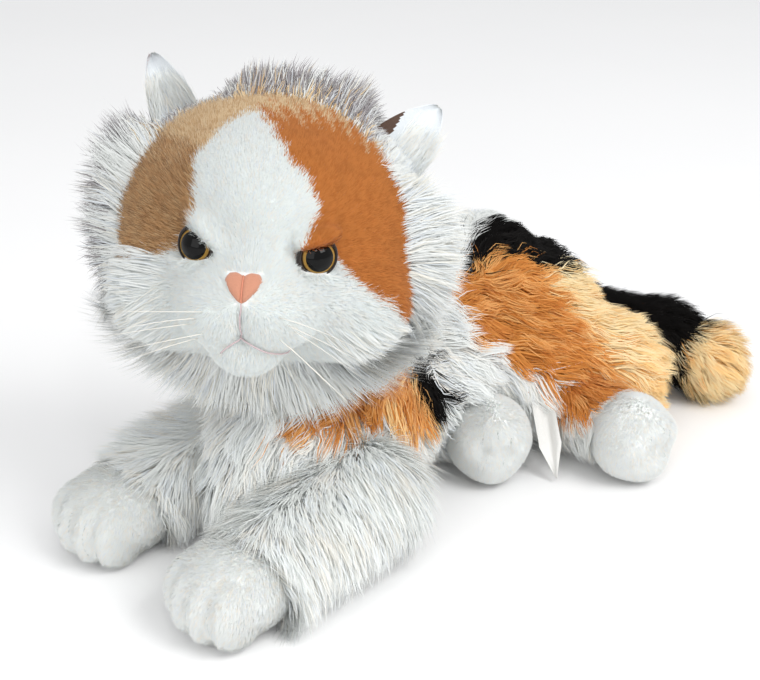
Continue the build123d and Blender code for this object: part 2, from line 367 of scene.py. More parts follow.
def cloth_material(name):
    """Backing cloth under the pile: colour comes from the pattern painted on its vertices."""
    mat, tree, bsdf = new_material(name)
    paint = tree.nodes.new("ShaderNodeVertexColor")
    paint.layer_name = "pattern"
    noise = add_noise(tree, CLOTH_GRAIN)
    mix = tree.nodes.new("ShaderNodeMix")
    mix.data_type = "RGBA"
    mix.blend_type = "MULTIPLY"
    mix.inputs["Factor"].default_value = 0.15
    tree.links.new(paint.outputs["Color"], mix.inputs["A"])
    tree.links.new(noise.outputs["Color"], mix.inputs["B"])
    tree.links.new(mix.outputs["Result"], bsdf.inputs["Base Color"])
    add_bump(tree, bsdf, noise, 0.4, 0.001)
    bsdf.inputs["Roughness"].default_value = 0.95
    bsdf.inputs["Sheen Weight"].default_value = 0.3
    return mat


CLOTH = cloth_material("pile_backing_cloth")


def simple_material(name, rgb, rough, scale, spread, bump=0.3, sheen=0.0):
    """Short-grained surface: colour noise and a fine bump."""
    mat, tree, bsdf = new_material(name)
    noise = noise_colour(tree, bsdf, np.array(lin(*rgb)), spread, scale)
    if bump:
        add_bump(tree, bsdf, noise, bump, 0.0006)
    bsdf.inputs["Roughness"].default_value = rough
    bsdf.inputs["Sheen Weight"].default_value = sheen
    return mat


SUEDE = simple_material("pink_suede", (188, 130, 104), 0.85, 1500, 0.10, 0.35, sheen=0.3)
NOSE_THREAD = simple_material("nose_thread", (206, 136, 110), 0.8, 2500, 0.15)
MOUTH_THREAD = simple_material("mouth_thread", (196, 176, 178), 0.85, 2500, 0.15)
THREAD = simple_material("white_thread", (200, 204, 202), 0.85, 2500, 0.12)
NYLON = simple_material("nylon_hair", (226, 222, 212), 0.35, 400, 0.06, 0)
PUPIL = simple_material("eye_pupil", (5, 5, 5), 0.05, 300, 0.2, 0)
IRIS = simple_material("eye_amber", (150, 116, 54), 0.15, 900, 0.3, 0)
EYE_RIM = simple_material("eye_rim", (60, 42, 20), 0.3, 500, 0.2, 0)
for glossy in (PUPIL, IRIS):
    glossy.node_tree.nodes["Principled BSDF"].inputs["Specular IOR Level"].default_value = 0.18
FELT = simple_material("black_felt", (34, 26, 22), 0.95, 1800, 0.3, 0.5, sheen=0.4)
SATIN = simple_material("white_satin", (222, 221, 217), 0.42, 1600, 0.06, 0.25, sheen=0.4)
EAR_CLOTH = simple_material("ear_short_pile", (222, 227, 231), 0.9, 1400, 0.08, 0.5, sheen=0.4)
EAR_BACK_DARK = simple_material("ear_back_brown", (84, 62, 50), 0.9, 1400, 0.2, 0.5, sheen=0.3)
EAR_BACK_TAN = simple_material("ear_back_tan", (214, 184, 146), 0.9, 1400, 0.12, 0.5, sheen=0.3)


# ---- the coat pattern
def tent(p, at, radii):
    return np.linalg.norm((p - np.asarray(at, float)) / np.asarray(radii, float), axis=-1)


# places on the face, mm in head axes: +X the cat's left, -Y ahead, +Z up from the skull's middle
NOSE_TOP = -4.4
LID_SLANT = {"left": 14, "right": 36}
EYE_SPOT = {"left": (31, 2.0), "right": (-24.8, 4.2)}
# sides of the white blaze: heights, then X at each
BLAZE_LEFT = ([-12, 5, 11, 19, 29, 39, 45, 53, 58, 62], [-33, -31, -29, -27, -26, -28, -26, -21, -15, -6])
BLAZE_RIGHT = ([-12, 2, 12, 25, 36, 43, 53, 58, 62], [20, 21, 27, 30, 24, 17, 10, 3, -6])


def wobble(p, size, seed):
    """Smooth wandering of a few units, to keep colour borders from being ruled lines."""
    broad = np.sin(p @ np.array([1.0, 0.7, -0.4]) / size + seed)
    fine = np.sin(p @ np.array([-0.5, 0.9, 1.1]) / (size * 0.6) + 2 * seed)
    return (broad + fine) * 0.5


def head_class(p):
    """Colour of the head's coat at a row-frame point."""
    q = to_head(p)
    x, y, z = q[:, 0], q[:, 1], q[:, 2]
    w = wobble(q, 6.0, 1.3) * 1.5
    out = np.full(len(p), "plush", dtype=object)
    front = y < face_seam(q) + 2
    left = np.interp(z, *BLAZE_LEFT) + w
    right = np.interp(z, *BLAZE_RIGHT) + w
    low_left = -1 + 0.3 * (x + 34)
    tan = front & (z > low_left + w) & (x < left)
    fleck = 5 * wobble(q, 1.6, 4.0)
    cream_edge = np.interp(x, [-40, 9, 27, 38, 47, 55], [61, 62, 60, 56, 49, 43])
    over = front & (z > cream_edge + w) & (x < 56)
    out[tan] = "tan"
    out[over | (tan & (z > 44 + 2 * fleck))] = "cream"
    low_right = np.interp(x, [20, 31, 38, 46, 53, 63, 70, 80], [0, 0, -1, -9, -15, -21, -31, -42])
    rust = front & (x > right) & (z > low_right + w)
    out[rust] = "rust"
    out[rust & (z > cream_edge + fleck)] = "cream"
    back = y > 26
    patch = back & (tent(q, (34, 60, 20), (30, 60, 30)) < 1)
    out[patch] = "black"
    patch = back & (tent(q, (-30, 60, 6), (28, 60, 34)) < 1)
    out[patch] = "orange"
    return out


def face_seam(q):
    """Local Y where the short face cloth meets the ruff, by height."""
    return np.interp(q[:, 2], [-60, -30, 10, 40, 60, 70], [-34, -30, -26, -20, -8, 2])


def body_class(p):
    """Colour of the torso's coat at a row-frame point."""
    x, y, z = p[:, 0], p[:, 1], p[:, 2]
    w = wobble(p, 9.0, 0.4) * 4
    out = np.full(len(p), "white", dtype=object)
    # black saddle over the rump end of the back
    saddle = (y > 30 + w) & (z > 118 - np.clip(y - 70, 0, 99) * 0.42 + w) & (x < 26) & (x > -5)
    # orange haunch and flank on the left
    haunch_edge = np.interp(y, [8, 31, 44, 58, 80, 100, 150], [90, 76, 66, 57, 42, 28, 12])
    haunch = (x > -2) & (y > 6 + w) & (z > haunch_edge + w)
    out[haunch] = "orange"
    rear = y - 76 - 0.55 * np.abs(x - 38) + w
    out[haunch & (rear > -9)] = "amber"
    out[haunch & (rear > 2)] = "gold"
    out[saddle] = "black"
    right_patch = (x < -30) & (tent(p, (-60, 78, 74), (60, 44, 42)) < 1 + 0.06 * w)
    out[right_patch] = "orange"
    right_spot = (x < -30) & (tent(p, (-60, -10, 88), (60, 30, 26)) < 1 + 0.06 * w)
    out[right_spot] = "black"
    rump = (y > 128 + w) & (z > 58) & (x < 22)
    out[rump] = "black"
    along = [-128, -104, -75, -55, -35]
    middle, half = np.interp(y, along, [82, 82, 79, 76, 72]), np.interp(y, along, [3, 5, 7, 11, 17])
    stripe = (x > 18) & (y < -30) & (y > -130) & (np.abs(z - middle) < half + 0.3 * w)
    out[stripe] = "orange"
    out[stripe & (y > -62 + w)] = "amber"
    spot = (x > 18) & (y > -33 + 0.5 * w) & (y < -15 + 0.5 * w) & (z > 60) & (z < 90)
    out[spot] = "black"
    return out


def all_one(colour):
    """Coat of one colour."""
    return lambda p: np.full(len(p), colour, dtype=object)


all_white = all_one("white")


def tail_class(p):
    out = all_one("black")(p)
    out[p[:, 0] + wobble(p, 7.0, 2.2) * 4 > 68] = "gold"
    return out


def left_hind_class(p):
    out = all_white(p)
    out[(p[:, 0] < 84 + wobble(p, 7.0, 0.9) * 3) & (p[:, 2] > 37)] = "orange"
    return out


# tints that each colour of the coat is mixed from, with their shares
MIX = {
    "white": (("white", 0.6), ("white_cool", 0.2), ("white_warm", 0.2)),
    "plush": (("plush", 0.6), ("plush_cool", 0.2), ("plush_warm", 0.2)),
    "mane": (("mane", 0.6), ("mane_cool", 0.2), ("mane_warm", 0.2)),
    "ear_pink": (("ear_pink", 1.0),),
    "ear_dark": (("ear_dark", 1.0),),
    "amber": (("orange_light", 0.5), ("orange", 0.25), ("gold", 0.25)),
    "tan": (("tan", 0.45), ("tan_dark", 0.33), ("cream_dark", 0.22)),
    "cream": (("cream", 0.6), ("cream_dark", 0.4)),
    "rust": (("rust", 0.65), ("rust_dark", 0.35)),
    "orange": (("orange", 0.42), ("orange_deep", 0.28), ("orange_light", 0.30)),
    "gold": (("gold", 0.3), ("gold_light", 0.65), ("orange_light", 0.05)),
    "black": (("black", 0.75), ("black_soft", 0.25)),
}


def paint(obj, classes):
    """Coat colour on a cloth's vertices."""
    mesh = obj.data
    co = np.zeros(len(mesh.vertices) * 3)
    mesh.vertices.foreach_get("co", co)
    names = classes(co.reshape(-1, 3) / MM)
    colour = np.ones((len(names), 4))
    for key in set(names):
        colour[names == key, :3] = np.array(lin(*TINTS[MIX[key][0][0]]))
    layer = mesh.color_attributes.new("pattern", "FLOAT_COLOR", "POINT")
    layer.data.foreach_set("color", colour.reshape(-1))


# ---- pile
SOFT = 0.8  # how far long pile is shaded like the skin under it
SOFT_SHORT = 0.88
LAY_OVER = 0.28  # how far each step of a strand turns to the combed way
DOWN = np.array([0, 0, -1.0])
ROLL = 0.22  # spread of the ribbons' twist, radians
LOWEST = 0.6  # hair is bent up this far above the floor, mm
PIECE_TRIANGLES = 170000


def unit(v):
    return v / (np.linalg.norm(v, axis=-1, keepdims=True) + 1e-9)


def scatter(verts, quads, n, rng):
    """n points spread evenly over a skin, with its smooth normals."""
    tris = np.concatenate([quads[:, [0, 1, 2]], quads[:, [0, 2, 3]]])
    a, b, c = verts[tris[:, 0]], verts[tris[:, 1]], verts[tris[:, 2]]
    area = np.linalg.norm(np.cross(b - a, c - a), axis=1)
    pick = np.searchsorted(np.cumsum(area) / area.sum(), rng.random(n))
    pick = np.clip(pick, 0, len(tris) - 1)
    u, v = rng.random(n), rng.random(n)
    flip = u + v > 1
    u[flip], v[flip] = 1 - u[flip], 1 - v[flip]
    t = tris[pick]
    nv = normals_of(verts, quads)
    spot = a[pick] + u[:, None] * (b - a)[pick] + v[:, None] * (c - a)[pick]
    n0, n1, n2 = (nv[t[:, i]] for i in range(3))
    nrm = n0 + u[:, None] * (n1 - n0) + v[:, None] * (n2 - n0)
    return spot, unit(nrm)


def grow(spot, nrm, comb, length, lift, droop, segs, rng, jitter, curl):
    """Strand centre lines: (n, segs + 1, 3)."""
    way = unit(comb - (comb * nrm).sum(1, keepdims=True) * nrm + 1e-6)
    way = unit(way + rng.normal(0, jitter, way.shape))
    way = unit(way - (way * nrm).sum(1, keepdims=True) * nrm)
    step = (length / segs)[:, None]
    line = [spot]
    heading = unit(way * np.cos(lift)[:, None] + nrm * np.sin(lift)[:, None])
    twist = rng.normal(0, curl, way.shape)
    for k in range(segs):
        line.append(line[-1] + heading * step)
        bend = twist * (1 if k % 2 else -1)
        heading = unit(heading + way * LAY_OVER + DOWN * droop + bend)
    return np.stack(line, 1)


def ribbon_faces(n, segs):
    """Face corners and face starts of n ribbons, each segs - 1 quads and a tip triangle."""
    quads = [[2 * k, 2 * k + 1, 2 * k + 3, 2 * k + 2] for k in range(segs - 1)]
    pattern = np.concatenate([np.array(quads, int).reshape(-1), np.arange(2 * segs - 2, 2 * segs + 1)])
    loops = (np.arange(n) * (2 * segs + 1))[:, None] + pattern[None, :]
    sizes = np.array([4] * (segs - 1) + [3])
    first = np.concatenate([[0], np.cumsum(sizes)[:-1]])
    starts = (np.arange(n) * sizes.sum())[:, None] + first[None, :]
    return loops.reshape(-1), starts.reshape(-1)


def per_vertex(left, right, segs):
    """Rows of a ribbon as its vertices: left and right of each row but the last, then the tip."""
    out = np.empty((len(left), 2 * segs + 1, 3))
    out[:, 0:2 * segs:2] = left[:, :segs]
    out[:, 1:2 * segs:2] = right[:, :segs]
    out[:, 2 * segs] = (left[:, segs] + right[:, segs]) / 2
    return out


def strands(name, body, lines, nrm, width, mats, mat_index, tip_index, rng, lean):
    """Tapered ribbons along the centre lines, as one mesh."""
    n, rows = lines.shape[:2]
    segs = rows - 1
    lines = lines.copy()
    lines[..., 2] = np.maximum(lines[..., 2], LOWEST)
    along = np.gradient(lines, axis=1)
    side = unit(np.cross(along, nrm[:, None, :]))
    other = unit(np.cross(along, side))
    roll = rng.normal(0, ROLL, n)[:, None, None]
    side = side * np.cos(roll) + other * np.sin(roll)
    along = unit(along)
    taper = (1 - np.arange(rows) / segs) ** 0.6
    half = side * (width[:, None] * taper[None, :] * 0.5)[..., None]
    verts = per_vertex(lines - half, lines + half, segs)
    loops, starts = ribbon_faces(n, segs)
    index = np.repeat(mat_index[:, None], segs, 1)
    # outer half of grey-tipped strands takes the grey tints: frosting, and painted shade on the ruff's left
    grey_tipped = tip_index >= 0
    for k in range(1, 1 + (segs + 1) // 2):
        index[grey_tipped, -k] = tip_index[grey_tipped]
    mesh = bpy.data.meshes.new(name)
    mesh.vertices.add(verts.shape[0] * verts.shape[1])
    mesh.vertices.foreach_set("co", (verts * MM).astype(np.float32).reshape(-1))
    mesh.loops.add(len(loops))
    mesh.loops.foreach_set("vertex_index", loops.astype(np.int32))
    mesh.polygons.add(len(starts))
    mesh.polygons.foreach_set("loop_start", starts.astype(np.int32))
    for mat in mats:
        mesh.materials.append(mat)
    mesh.polygons.foreach_set("material_index", index.reshape(-1).astype(np.int32))
    mesh.polygons.foreach_set("use_smooth", np.ones(len(starts), bool))
    # shade the pile like the soft mass it is: mostly by the skin under it
    facing = unit(np.cross(side, along))
    facing *= np.sign((facing * nrm[:, None, :]).sum(-1, keepdims=True) + 1e-6)
    blend = SOFT if segs > 1 else SOFT_SHORT
    shade = unit(blend * nrm[:, None, :] + (1 - blend) * facing + lean)
    mesh.update()
    layer = mesh.attributes.new("custom_normal", "FLOAT_VECTOR", "POINT")
    layer.data.foreach_set("vector", per_vertex(shade, shade, segs).astype(np.float32).reshape(-1))
    obj = bpy.data.objects.new(name, mesh)
    scene.collection.objects.link(obj)
    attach(obj, body)
    return obj


def into_locks(lines, spot, nrm, rng, clump, clump_size, wave):
    """Strands near one guide lean in to it towards their tips, and each lock wanders a little."""
    n, rows = lines.shape[:2]
    guides = rng.choice(n, min(n, max(8, int(2.2 * n / clump_size ** 2))), replace=False)
    tree = KDTree(len(guides))
    for i, g in enumerate(guides):
        tree.insert(spot[g], i)
    tree.balance()
    near = np.array([tree.find(p)[1] for p in spot])
    lead = guides[near]
    t = np.arange(rows) / (rows - 1)
    pull = clump * (0.6 + 0.8 * rng.random(n))
    lines = lines + (lines[lead] - lines) * (pull[:, None] * (t ** 1.4)[None, :])[..., None]
    if wave:
        phase = rng.random(len(guides))[near] * 2 * math.pi + rng.normal(0, 0.3, n)
        across = unit(np.cross(lines[:, -1] - lines[:, 0], nrm))
        swing = np.sin(phase[:, None] + t[None, :] * 5.0) - np.sin(phase)[:, None]
        lines = lines + across[:, None, :] * (wave * swing * t[None, :] ** 0.7)[..., None]
    tone = rng.random(len(guides))[near] * 0.55 + rng.random(n) * 0.45
    return lines, np.argsort(np.argsort(tone)) / max(1, n - 1)


def tint_strands(keys, names, tone):
    """Materials of one colour family, and each strand's place among them, or -1."""
    mats, index = [], np.full(len(names), -1)
    for key in keys:
        start = 0.0
        for tint, share in MIX[key]:
            hit = (names == key) & (tone >= start) & (tone <= start + share + 1e-6)
            start += share
            if hit.any():
                if PILE[tint] not in mats:
                    mats.append(PILE[tint])
                index[hit] = mats.index(PILE[tint])
    return mats, index


def fur(name, body, skin, count, seed, length, comb, classes, width=0.6, segs=4, lift=0.7, droop=0.12,
        clump=0.35, clump_size=8.0, jitter=0.2, curl=0.06, wave=0.0, keep=None, grey_tip_rate=None,
        families=None, short=0.6, edge=2.0, lean=(0, 0, 0.3)):
    """Pile on a skin, split into one piece per colour family."""
    rng = np.random.default_rng(seed)
    spot, nrm = scatter(*skin, count, rng)
    if keep is not None:
        ok = keep(spot, nrm, rng)
        spot, nrm = spot[ok], nrm[ok]
    n = len(spot)
    names = classes(spot + rng.normal(0, edge, spot.shape))
    size = length(spot, nrm) * (short + (1.1 - short) * rng.random(n))
    rise = lift(spot) if callable(lift) else np.full(n, lift)
    rise = np.clip(rise + rng.normal(0, 0.12, n), 0.1, 1.45)
    lines = grow(spot, nrm, comb(spot, nrm), size, rise, droop, segs, rng, jitter, curl)
    lines, tone = into_locks(lines, spot, nrm, rng, clump, clump_size, wave)
    # grey tips drawn at the given rate: frosting on the ruff's top, painted shade on its shadowed left side
    grey_tip_kind = np.zeros(n, int)
    if grey_tip_rate is not None:
        rate, draw = grey_tip_rate(spot), rng.random(n)
        grey_tip_kind = np.where(draw < rate * 0.5, 2, np.where(draw < rate, 1, 0))
    for suffix, keys in (families or {"": tuple(MIX)}).items():
        mats, index = tint_strands(keys, names, tone)
        if not mats:
            continue
        tips = np.full(n, -1)
        if (grey_tip_kind[index >= 0] > 0).any():
            mats += [PILE["grey"], PILE["grey_dark"]]
            tips = np.where(grey_tip_kind > 0, len(mats) - 3 + grey_tip_kind, -1)
        members = np.flatnonzero(index >= 0)
        members = members[np.argsort(spot[members, 0] + spot[members, 1])]
        parts = max(1, math.ceil(len(members) * (2 * segs - 1) / PIECE_TRIANGLES))
        for k, some in enumerate(np.array_split(members, parts)):
            full = name + ("_" + suffix if suffix else "") + ("_%d" % (k + 1) if parts > 1 else "")
            w = width * (0.7 + 0.6 * rng.random(len(some)))
            piece = strands(full, body, lines[some], nrm[some], w, mats, index[some], tips[some], rng,
                            np.array(lean))


def cloth(name, body, field, low, high, step, classes, nodes, smooth=2):
    """Backing cloth of a stuffed form, painted with the coat pattern; returns its skin."""
    verts, quads = surface(field, low, high, step)
    verts = smooth_verts(verts, quads, smooth)
    obj = make_mesh(name, verts, quads)
    obj.data.materials.append(CLOTH)
    paint(obj, classes)
    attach(obj, body)
    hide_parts(*nodes)
    return verts, quads


# ---- body forms
FUR = 3.0  # how far the cloth lies under the outside of the CAD covers, mm
# radii of the rooms that the torso keeps for the legs, root and tip
FORE_ROOM = (25.5, 23.5)
HIND_ROOM = (22, 20.5)


def foreleg_field(side):
    s = 1 if side == "left" else -1
    root, tip = SHOULDER[side], FOREPAW[side]

    def field(p):
        d = limb(p, root, root + (tip - root) * 0.66, 27.5 - FUR, 25.5 - FUR)
        paw = egg(p, tip + np.array([0, 2, -1.0]), (29.5, 31, 23))
        q = (p - tip) * np.array([s, 1, 1.0])
        for x, wide, ahead in ((-18.5, 8.5, -12), (-7, 8.5, -17), (5.5, 8.5, -17.5), (17.5, 9.5, -13)):
            toe = egg(q, (x, ahead, -4), (wide, 14.5, 18))
            paw = join(paw, toe, 2.4)
        d = join(d, paw, 6)
        return above(d, p, 1.2)

    return field


def level_axes(root, tip):
    """Level directions along a leg and across it."""
    way = (tip - root) * np.array([1, 1, 0])
    way = way / np.linalg.norm(way)
    return way, np.array([-way[1], way[0], 0])


def hindleg_field(side):
    root, tip = HIP[side], HINDPAW[side]
    way, across = level_axes(root, tip)

    def field(p):
        d = limb(p, root, root + (tip - root) * 0.75, 24.5 - FUR, 20.5 - FUR)
        q = p - tip
        u, w, v = q @ across, q @ way, q[:, 2]
        sole = np.stack([u, w, v], -1)
        paw = egg(sole, (0, -2, 0), (24.5, 22.5, 25.5))
        for at, r in (((-11.5, 9, 4), 10), ((0, 10, 11), 11), ((11.5, 9, 4), 10), ((0, 7, -9), 14.5)):
            paw = join(paw, egg(sole, at, (r, r, r)), 4)
        d = join(d, paw, 6)
        # sole dimples pulled in by the toe stitches
        for a, b, r, depth in ((-6.5, 2, 4.4, 2.6), (6.5, 2, 4.4, 2.6), (1, -3, 4.0, 1.4)):
            d = d + depth * np.exp(-((u - a) ** 2 + (v - b) ** 2) / (r * r)) * (w > 0)
        return above(d, p, 1.2)

    return field


def tail_field(p):
    d = limb(p, TAIL_ROOT, TAIL_MID, 24 - FUR, 23 - FUR)
    d = join(d, limb(p, TAIL_MID, TAIL_TIP, 23 - FUR, 22 - FUR), 12)
    return above(d, p, 2.0)


def neck_field(p):
    return np.linalg.norm(p - NECK, axis=-1) - 33.0


SKULL = (73.5, 68.5, 66.5)


def head_local(q):
    """Skull, cheeks, brow and muzzle in head axes."""
    d = egg(q, (0, 0, 0), SKULL)
    m = q.copy()
    m[:, 0] = np.abs(m[:, 0])
    d = join(d, egg(m, (40, -34, -26), (30, 28, 26)), 14)
    d = join(d, egg(q, (0, -42, 26), (38, 31, 30)), 12)
    d = join(d, egg(q, (0, -61, -19), (32, 28, 22)), 14)
    d = join(d, egg(m, (13, -73, -25), (17, 15.5, 15)), 9)
    d = join(d, egg(q, (0, -70, -43), (16, 14, 11)), 8)
    # parting line below the nose
    d = d + 2.2 * np.exp(-(q[:, 0] / 2.4) ** 2) * (q[:, 1] < -70) * (q[:, 2] < -20) * (q[:, 2] > -38)
    return d


def eye_frame(side):
    """Middle of an eye on the skull, the way out of it, across it and up it."""
    x, z = EYE_SPOT[side]
    y = -72 * math.sqrt(1 - (x / 77) ** 2 - (z / 70) ** 2)
    n = np.array([x / 77 ** 2, y / 72 ** 2, z / 70 ** 2])
    n = n / np.linalg.norm(n)
    across = np.cross([0, 0, 1.0], n)
    across /= np.linalg.norm(across)
    return np.array([x, y, z], float), n, across, np.cross(n, across)


def head_field(p):
    q = to_head(p)
    d = head_local(q)
    for side in SIDES:
        at, n, across, up = eye_frame(side)
        s = 1 if side == "left" else -1
        d = cut(d, np.linalg.norm(q - (at + n * 1.5), axis=-1) - 9.5, 2.0)
        # upper lid slants down to the nose, lower lid is nearly level
        tilt = math.radians(LID_SLANT[side]) * s
        lid_across = across * math.cos(tilt) + up * math.sin(tilt)
        lid_up = np.cross(n, lid_across)
        axes = np.stack([lid_across, lid_up, n], 1)
        bulge = 5.2 if side == "left" else 4.4
        d = join(d, egg(q, at + lid_up * 8.6 + across * 1.0 * s + n * 1.2, (11.5, 4.7, bulge), axes), 5)
        axes = np.stack([across, up, n], 1)
        low_lid = 10.8 if side == "left" else 9.9
        d = join(d, egg(q, at - up * low_lid + n * 0.2, (12, 4.6, 3.8), axes), 4)
    d = cut(d, neck_field(p) - 1.5, 1.0)
    return d


def swung(root, tip, degrees):
    """Where tip goes when it turns about root."""
    return root + turn("z", degrees) @ (tip - root)


def torso_field(p):
    """The body, with rooms for the legs, the tail and the neck."""
    d = egg(p, (0, -96, 55), (44 - FUR, 40, 47 - FUR))
    d = join(d, egg(p, (0, -112, 40), (24, 38, 38)), 10)
    for at, r in (
        ((-8, -45, 58), (49, 52, 54)),
        ((-14, 12, 62), (51, 58, 65)),
        ((-13, 70, 66), (50, 50, 74)),
        ((-6, 106, 56), (44, 42, 60)),
    ):
        d = join(d, egg(p, at, np.array(r) - FUR), 14)
    d = join(d, egg(p, (18, 84, 52), np.array((44, 56, 50)) - FUR), 10)
    d = join(d, egg(p, (47, 116, 38), (37, 35, 36)), 14)
    d = above(d, p, 2.5)
    for side in SIDES:
        d = beside(d, limb(p, SHOULDER[side], FOREPAW[side], *FORE_ROOM), 1.2)
        d = beside(d, limb(p, HIP[side], HINDPAW[side], *HIND_ROOM), 1.2)
    for a in (-8, 0, 8):
        bend, tip = swung(TAIL_ROOT, TAIL_MID, a), swung(TAIL_ROOT, TAIL_TIP, a)
        d = beside(d, limb(p, TAIL_ROOT, bend, 24, 23), 1.5)
        d = beside(d, limb(p, bend, tip, 23, 23), 1.5)
    return beside(d, neck_field(p), 1.2)


# ---- backing cloths
HEAD_NODES = ["face_panel", "head_back_panel", "head_stuffing", "muzzle_cover", "muzzle_stuffing",
              "chin_cover"]
TORSO_NODES = ["belly_panel", "body_panel_left", "body_panel_right", "body_stuffing", "bean_bag"]
HIND_CLASS = {"left": left_hind_class, "right": all_white}
LEG = {}
head_skin = cloth("head_cloth", "head", head_field, HEAD_MID - 100, HEAD_MID + 100, 2.2, head_class,
                  HEAD_NODES)
torso_skin = cloth("body_cloth", "torso", torso_field, (-80, -165, -6), (100, 180, 150), 3.0, body_class,
                   TORSO_NODES, 3)
cloth("neck_cloth", "neck", neck_field, NECK - 40, NECK + 40, 3.0, all_white,
      ["neck_sleeve", "neck_stuffing"])


def leg_cloth(leg, root, tip, field, room, step, classes):
    """Backing cloth of one leg, kept in LEG for its pile and stitches."""
    nodes = [leg + "_" + k for k in ("sleeve", "paw_cover", "stuffing")]
    low, high = np.minimum(root, tip) - room, np.maximum(root, tip) + room
    LEG[leg] = cloth(leg + "_cloth", leg, field, low, high, step, classes, nodes, 1)


for side in SIDES:
    leg_cloth("foreleg_" + side, SHOULDER[side], FOREPAW[side], foreleg_field(side), 45, 2.0,
              all_white)
    leg_cloth("hindleg_" + side, HIP[side], HINDPAW[side], hindleg_field(side), 40, 1.8,
              HIND_CLASS[side])
tail_skin = cloth("tail_cloth", "tail", tail_field, (-40, 110, -6), (120, 240, 85), 2.6, tail_class,
                  ["tail_sleeve", "tail_tip_cover", "tail_stuffing"])


# ---- head pile
EARS = {
    "left": (np.array([58, 8, 39.0]), np.array([22, 8, 26.0]), np.array([-0.1, 1, -0.25])),
    "right": (np.array([-50, 6, 51.5]), np.array([-15, -2, 36.0]), np.array([-0.25, 1, 0])),
}
EAR_HEIGHT = 38
EAR_WIDTH = {"left": 31, "right": 23}
EAR_CUP = {"left": 7.5, "right": 13}


def past_seam(q):
    return q[:, 1] - face_seam(q)


def head_comb(p, nrm):
    """Out from the nose over the face, out and down round the ruff, down the back."""
    q = to_head(p)
    face = np.stack([q[:, 0] * 1.0, np.full(len(q), 14.0), q[:, 2] + 14], 1)
    low = q[:, 2] < -20
    face[low] = np.stack([q[low, 0] * 1.0, np.full(low.sum(), 10.0), q[low, 2] * 0.9], 1)
    out = np.stack([q[:, 0] * 1.3, 42 + 0 * q[:, 0], q[:, 2] - 6 + np.where(q[:, 2] > 20, 26, 0)], 1)
    back = np.stack([q[:, 0] * 0.6, 10 + 0 * q[:, 0], -60 + 0 * q[:, 0]], 1)
    t = np.clip(past_seam(q) / 12, 0, 1)[:, None]
    b = np.clip((q[:, 1] - 16) / 30, 0, 1)[:, None]
    way = unit(face) * (1 - t) + unit(out) * t * (1 - b) + unit(back) * b
    for side in SIDES:
        at = eye_frame(side)[0]
        away = q - at
        near = np.exp(-np.clip(np.linalg.norm(away, axis=1) - 8, 0, None) ** 2 / 18)[:, None]
        way = way * (1 - near) + unit(away) * near
    return way @ HEAD.T


def ruff_length(p, nrm):
    q = to_head(p)
    t = np.clip((past_seam(q) + 3) / 8, 0, 1)
    side = np.clip(np.abs(q[:, 0]) / 60, 0, 1)
    low = np.clip(-q[:, 2] / 50, 0, 1)
    back = np.clip((q[:, 1] - 16) / 30, 0, 1)
    foot = (EARS["left"][0] - np.array([0, 8, 0]), EARS["right"][0] + np.array([9, -10, 6]))
    ear = np.min([np.linalg.norm(q - at, axis=1) for at in foot], axis=0)
    plume = np.clip((-q[:, 0] - 36) / 12, 0, 1) * np.clip((q[:, 2] - 12) / 12, 0, 1) * (q[:, 1] < 0)
    full = 9 + t * (21.5 + 6 * side + 13 * low + 9 * plume)
    return full * (1 - 0.42 * back) * np.clip((ear - 15) / 14, 0.3, 1)


def ruff_lift(p):
    q = to_head(p)
    back = np.clip((q[:, 1] - 4) / 34, 0, 1)
    return 0.95 - 0.35 * back


# Share of ruff strands with grey tips: frosted hair along the top, and painted shade towards the back of
# the left side, which lies in shadow
def ruff_frost_and_painted_shade(p):
    q = to_head(p)
    top = np.clip((q[:, 2] - 42) / 12, 0, 1)
    # painted shade: grey tips on the ruff's shadowed left side, towards its back
    left = np.clip((-q[:, 0] - 34) / 16, 0, 1) * np.clip((q[:, 2] + 44) / 16, 0, 1) * 0.9
    rear = np.clip((past_seam(q) - 3) / 10, 0, 1)
    return np.clip(0.6 * top + left * rear, 0, 0.92) * (q[:, 1] < 34)


def eye_opening(q):
    out = np.zeros(len(q), bool)
    for side in SIDES:
        at, n, across, up = eye_frame(side)
        d = q - at
        out |= (np.linalg.norm(d - (d @ n)[:, None] * n, axis=1) < 9.2) & (d @ n < 2.4)
    return out


def on_nose(q):
    down = (NOSE_TOP - q[:, 2]) / 12.6
    within = np.abs(q[:, 0]) < 8.4 * np.sqrt(np.clip(1 - down, 0, 1))
    return within & (down > 0) & (down < 1) & (q[:, 1] < -70)


def keep_ruff(p, nrm, rng):
    q = to_head(p)
    return (past_seam(q) > -1 + rng.normal(0, 1.2, len(q))) & (neck_field(p) > 4)


def keep_face(p, nrm, rng):
    q = to_head(p)
    return (past_seam(q) < 3) & ~eye_opening(q) & ~on_nose(q) & (neck_field(p) > 4)


def face_length(p, nrm):
    q = to_head(p)
    tan = np.clip((-q[:, 0] - 24) / 10, 0, 1) * (q[:, 2] > -4)
    edge = np.clip((past_seam(q) + 12) / 12, 0, 1)
    cheek = np.clip((-q[:, 2] - 4) / 20, 0, 1) * np.clip((np.abs(q[:, 0]) - 30) / 14, 0, 1)
    chin = np.clip((-q[:, 2] - 50) / 10, 0, 1)
    return 3.4 + 3 * edge + 4 * cheek + 4 * chin + 3.5 * tan


HEAD_FAMILIES = {"white": ("mane", "plush"), "warm": ("tan", "cream", "rust"), "dark": ("black",),
                 "orange": ("orange", "gold")}


def even(length):
    """Pile of one length everywhere."""
    return lambda p, n: np.full(len(p), length)


def ruff_class(p):
    """Colour of the mane: white in front of the head's back, but for a strip of cream at the seam."""
    out = head_class(p)
    q = to_head(p)
    out[(q[:, 1] < 26) & ((out != "cream") | (past_seam(q) > 3))] = "mane"
    out[out == "plush"] = "mane"
    return out
